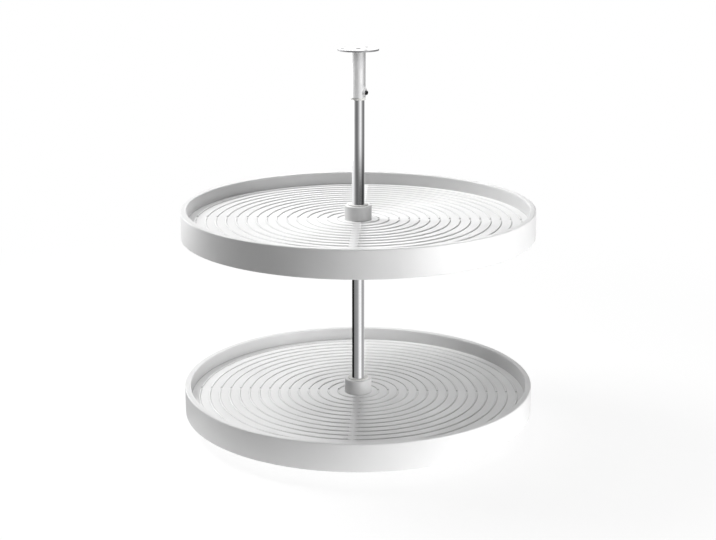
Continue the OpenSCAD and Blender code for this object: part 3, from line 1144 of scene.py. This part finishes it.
def lock_boss_shape():
    """Stack of drops from inside the sleeve's wall to the boss's face."""
    bm = bmesh.new()
    stack = []
    for k in range(4):
        turn = TURN / 4 * k / 3
        stack.append((BOSS_BEAD * (1 - sin(turn)), BOSS_BEAD * (1 - cos(turn)), True))
    for k in range(5):
        turn = TURN / 4 * k / 4
        grow = BOSS_EDGE * (cos(turn) - 1)
        stack.append((grow, BOSS_FACE - BOSS_EDGE * (1 - sin(turn)), False))
    rings = []
    for grow, out, on_sleeve in stack:
        ring = []
        for across, along in drop(grow):
            surface = sqrt(SLEEVE_R ** 2 - across ** 2) - BOSS_SUNK if on_sleeve else 0
            ring.append(bm.verts.new((-along, across, surface + out)))
        rings.append(ring)
    root = SLEEVE_BORE * 0.9
    rings.insert(0, [bm.verts.new((v.co.x, v.co.y, root)) for v in rings[0]])
    stitch(bm, rings)
    bm.faces.new(rings[0])
    bm.faces.new(rings[-1])
    made = aim(to_piece("drop_lock_boss", bm), LOCK_ANGLE, LOCK_Z)
    inside = rod(SLEEVE_R - BOSS_SUNK / 2, SLEEVE_LOW, SLEEVE_TOP, FINE)
    return cut(made, [inside, thread_hole(LOCK_R, BOSS_FACE, LOCK_ANGLE, LOCK_Z)])


dress(lock_boss_shape(), "telescoping_sleeve", "lock_boss", "satin_steel")

# %% Lock screw


def clamp_screw():
    """Black socket screw whose head stands on the boss."""
    head_r = 3.5 * MM
    seat = BOSS_FACE + 0.1 * MM
    crown = seat + 2.4 * MM
    shank = LOCK_R - THREAD_GAP
    made = turned("black_lock_screw", [
        (0, SCREW_TIP, 0), (shank, SCREW_TIP, 0.3 * MM), (shank, seat, 0),
        (head_r, seat, 0.2 * MM), (head_r, crown, 0.5 * MM), (0, crown, 0),
    ], MEDIUM)
    return aim(cut(made, [hexagon_key(3 * MM, crown - 1.6 * MM, crown)]), LOCK_ANGLE, LOCK_Z)


dress(clamp_screw(), "lock", "lock_screw", "black_oxide_steel")

# %% [markdown]
# ## The studio
#
# The set stands on a plain white floor in an empty white studio. The white is the floor's own
# colour as the camera sees it, not more light, so the plastic keeps its greys and the floor its
# shadow.
#
# Bright metal shows what stands round it. A room that is white all over would turn the post into a
# white stripe, so a photographer puts cards round the set: here a white one at the right, a grey
# one in front and a black one at the left. The cards are bands of brightness by direction. The
# post's lower part mirrors the floor near the set, the part above the upper hub the floor some two
# metres out, and its top what stands beyond, so there are three rows of bands.

# %% Cards round the studio, as metal sees them
# Degrees round the set, 0 is the front and 90 the right, each with its brightness.
LOW_CARDS = {-180: 0.35, -152: 0.12, -136: 0.0, -87: 0.0, -77: 0.23, -60: 0.29, -38: 0.33,
             -14: 0.35, 2: 0.52, 20: 1.0, 38: 1.28, 56: 1.1, 72: 0.6, 86: 0.43, 118: 0.43,
             150: 0.92, 180: 0.6}
MIDDLE_CARDS = {-180: 0.9, -140: 1.1, -95: 1.1, -72: 0.66, -50: 0.33, -31: 0.17, -13: 0.15,
                5: 0.19, 24: 0.17, 42: 0.18, 60: 0.17, 85: 0.04, 113: 0.08, 140: 0.3, 166: 0.66,
                180: 0.9}
HIGH_CARDS = {-180: 1.2, -92: 1.25, -74: 1.05, -62: 0.55, -50: 0.27, -31: 0.19, -13: 0.21,
              5: 0.39, 24: 0.78, 40: 1.15, 54: 1.05, 66: 0.75, 84: 0.3, 113: 0.21, 140: 0.3,
              166: 0.7, 180: 1.2}


def card_ramp(tree, share, cards):
    """Brightness by direction from one row of cards."""
    ramp = put(tree, "ValToRGB", Fac=share)
    stops = ramp.color_ramp.elements
    for i, (angle, level) in enumerate(cards.items()):
        where = angle / 360 + 0.5
        stop = stops[i] if i < 1 else stops.new(where) if i < len(cards) - 1 else stops[-1]
        stop.position = where
        stop.color = (level, level, level, 1)
    return ramp.outputs["Color"]


def studio_cards(tree, given):
    """Brightness of the surroundings by direction, with shares for the two nearer rows."""
    parts = put(tree, "SeparateXYZ", Vector=given["Direction"]).outputs
    front = calc(tree, "MULTIPLY", parts["Y"], -1.0)
    turn = calc(tree, "ARCTAN2", parts["X"], front)
    share = calc(tree, "ADD", calc(tree, "DIVIDE", turn, TURN), 0.5)
    high = card_ramp(tree, share, HIGH_CARDS)
    upper = tint(tree, given["Middle"], high, card_ramp(tree, share, MIDDLE_CARDS))
    return {"Brightness": tint(tree, given["Low"], upper, card_ramp(tree, share, LOW_CARDS))}


STUDIO_CARDS = new_group("Studio cards", studio_cards, Direction=(0, 1, 0), Low=0.0, Middle=0.0)

# %% World
AMBIENT = 0.02
CEILING_ENDS = (0.2, 0.6)
PURE_WHITE = (1, 1, 1, 1)
MIX, BOTH = "MixShader", "AddShader"


def studio_world():
    """White to the camera, cards to metal with a white ceiling, soft grey as a light."""
    world = bpy.data.worlds.new("studio")
    world.use_nodes = True
    bpy.context.scene.world = world
    tree = world.node_tree
    tree.nodes.clear()
    ray = put(tree, "LightPath").outputs
    direction = put(tree, "TexCoord").outputs["Generated"]
    cards = use(tree, STUDIO_CARDS, Direction=direction)["Brightness"]
    ceiling = fade(tree, height_of(tree, direction), *CEILING_ENDS)
    mirrored = tint(tree, ceiling, cards, PURE_WHITE)
    shiny = calc(tree, "MAXIMUM", ray["Is Glossy Ray"], ray["Is Transmission Ray"])
    light = wire(tree, "Background", PURE_WHITE, AMBIENT)
    shown = wire(tree, "Background", mirrored, 1.0)
    white = wire(tree, "Background", PURE_WHITE, 1.0)
    surface = wire(tree, MIX, shiny, light, shown)
    surface = wire(tree, MIX, ray["Is Camera Ray"], surface, white)
    put(tree, "OutputWorld", Surface=surface)
    return world


print("world:", studio_world().name)

# %% [markdown]
# The floor does three things. To the light it is a plain pale surface that glows under the set
# like a light table, which brightens the skirts from below. To the camera it is white far from the
# set and keeps a soft shadow near it. To metal it shows the cards. From below it is clear.

# %% Floor
FLOOR_RADIUS = 14.0
FLOOR_COLOUR = (0.7, 0.7, 0.7, 1)
TABLE_GLOW = 0.68
TABLE_ENDS = (0.35, 0.48)
FLOOR_GLOW = 0.87
SHADOW_SHARE = (0.18, 0.18, 0.18, 1)
SHADOW_ENDS = (0.6, 1.5)
LOW_CARDS_END = (1.05, 1.6)
MIDDLE_CARDS_END = (1.9, 2.9)


def floor_finish():
    """A floor that is white to the camera, darker in shadow, and clear from below."""
    finish = bpy.data.materials.new("studio floor")
    finish.use_nodes = True
    tree = finish.node_tree
    tree.nodes.clear()
    ray = put(tree, "LightPath").outputs
    shape = put(tree, "NewGeometry").outputs
    distance = distance_of(tree, shape["Position"])
    plain = wire(tree, "BsdfDiffuse", FLOOR_COLOUR)
    table = fade(tree, distance, *TABLE_ENDS, TABLE_GLOW, 0.0)
    lit = wire(tree, BOTH, plain, wire(tree, "Emission", PURE_WHITE, table))
    shaded = wire(tree, "BsdfDiffuse", SHADOW_SHARE)
    near = wire(tree, BOTH, shaded, wire(tree, "Emission", PURE_WHITE, FLOOR_GLOW))
    white = wire(tree, "Emission", PURE_WHITE, 1.0)
    seen = wire(tree, MIX, fade(tree, distance, *SHADOW_ENDS), near, white)
    low = fade(tree, distance, *LOW_CARDS_END, 1.0, 0.0)
    middle = fade(tree, distance, *MIDDLE_CARDS_END, 1.0, 0.0)
    cards = use(tree, STUDIO_CARDS, Direction=shape["Position"], Low=low, Middle=middle)
    mirrored = wire(tree, "Emission", cards["Brightness"], 1.0)
    surface = wire(tree, MIX, ray["Is Glossy Ray"], lit, mirrored)
    surface = wire(tree, MIX, ray["Is Camera Ray"], surface, seen)
    clear = wire(tree, "BsdfTransparent")
    surface = wire(tree, MIX, shape["Backfacing"], surface, clear)
    put(tree, "OutputMaterial", Surface=surface)
    finish.cycles.emission_sampling = "NONE"
    return finish


def studio_floor():
    """One large flat disc at z = 0."""
    bm = bmesh.new()
    bmesh.ops.create_circle(bm, cap_ends=True, segments=96, radius=FLOOR_RADIUS)
    floor = to_piece("studio_floor", bm)
    if floor.data.polygons[0].normal.z < 0:
        floor.data.flip_normals()
    floor.data.materials.append(floor_finish())
    return floor


print("floor:", studio_floor().name)

# %% [markdown]
# ## Lamps
#
# The key is a wide, low softbox at the right front, so that the skirts fall from white at the
# right to grey at the left. Most of the light on the trays' floors comes from high at the left, a
# little behind, which also draws the dark side of each ring. Weak ones fill what is left, and one
# behind is mirrored in the trays' floors as a soft sheen.

# %% Softboxes
LAMP_DISTANCE = 2.4


def softbox(name, azimuth, elevation, size, power, aim_z=0.32):
    """Rectangular lamp aimed at the set. Azimuth 0 is the front, 90 the right."""
    a = radians(azimuth)
    e = radians(elevation)
    away = Vector((sin(a) * cos(e), -cos(a) * cos(e), sin(e)))
    lamp = bpy.data.lights.new(name, "AREA")
    lamp.shape = "RECTANGLE"
    lamp.size, lamp.size_y = size
    lamp.energy = power
    made = new_object(name, lamp)
    made.location = Vector((0, 0, aim_z)) + away * LAMP_DISTANCE
    made.rotation_euler = away.to_track_quat("Z", "Y").to_euler()
    made.visible_camera = False
    return made


LAMPS = (
    ("key", 60, 0, (2.0, 0.36), 41, 0.19),
    ("right_rim", 54, 0, (0.85, 0.36), 6, 0.56),
    ("high_right", 60, 40, (0.9, 0.8), 8),
    ("high_left", -112, 45, (1.2, 0.8), 45),
    ("top_left", -120, 65, (0.9, 0.9), 9),
    ("low_left", -126, 0, (0.85, 0.36), 9, 0.19),
    ("back", 180, 25, (0.9, 0.8), 6),
)
for lamp in LAMPS:
    softbox(*lamp)
print("lamps:", [lamp[0] for lamp in LAMPS])

# %% [markdown]
# The key would burn a white line into the bright metal. A photographer would stand a black card, a
# flag, between the two. Light linking does the same.

# %% A flag between the key and the metal
FLAGGED = ("chromed_post", "sliding_sleeve", "ceiling_flange", "drop_lock_boss",
           "black_lock_screw")


def flag_off(lamp, names):
    """Keeps a lamp's light off the named pieces."""
    covered = bpy.data.collections.new("behind the flag")
    for name in names:
        covered.objects.link(bpy.data.objects[name])
    lamp.light_linking.receiver_collection = covered
    for member in covered.collection_objects:
        member.light_linking.link_state = "EXCLUDE"


flag_off(bpy.data.objects["key"], FLAGGED)
print("flagged:", len(FLAGGED), "pieces")

# %% [markdown]
# ## The camera
#
# The camera's place and lens were found by fitting a pinhole camera to the ellipses of the two
# trays. The photograph's frame lies a little lower than the lens looks: hence the lens shift.

# %% Camera
CAMERA_AZIMUTH = radians(2.5)
CAMERA_DISTANCE = 2359 * MM
CAMERA_HEIGHT = 919.6 * MM
CAMERA_PITCH = radians(13.24)
LENS_MM = 70.54
SENSOR_MM = 36
LENS_SHIFT = (-0.0003, -0.0698)


def photo_camera():
    """Camera at the photograph's angle, looking at the post."""
    data = bpy.data.cameras.new("photo_camera")
    data.lens = LENS_MM
    data.sensor_width = SENSOR_MM
    data.shift_x, data.shift_y = LENS_SHIFT
    camera = new_object("photo_camera", data)
    side = sin(CAMERA_AZIMUTH)
    front = cos(CAMERA_AZIMUTH)
    camera.location = (CAMERA_DISTANCE * side, -CAMERA_DISTANCE * front, CAMERA_HEIGHT)
    level = cos(CAMERA_PITCH)
    ahead = Vector((-side * level, front * level, -sin(CAMERA_PITCH)))
    camera.rotation_euler = ahead.to_track_quat("-Z", "Y").to_euler()
    bpy.context.scene.camera = camera
    return camera


print("camera at", [round(v, 3) for v in photo_camera().location])

# %% [markdown]
# ## Finish
#
# The Standard view transform shows a colour as it is written.

# %% Show colours as written
bpy.context.scene.view_settings.view_transform = "Standard"
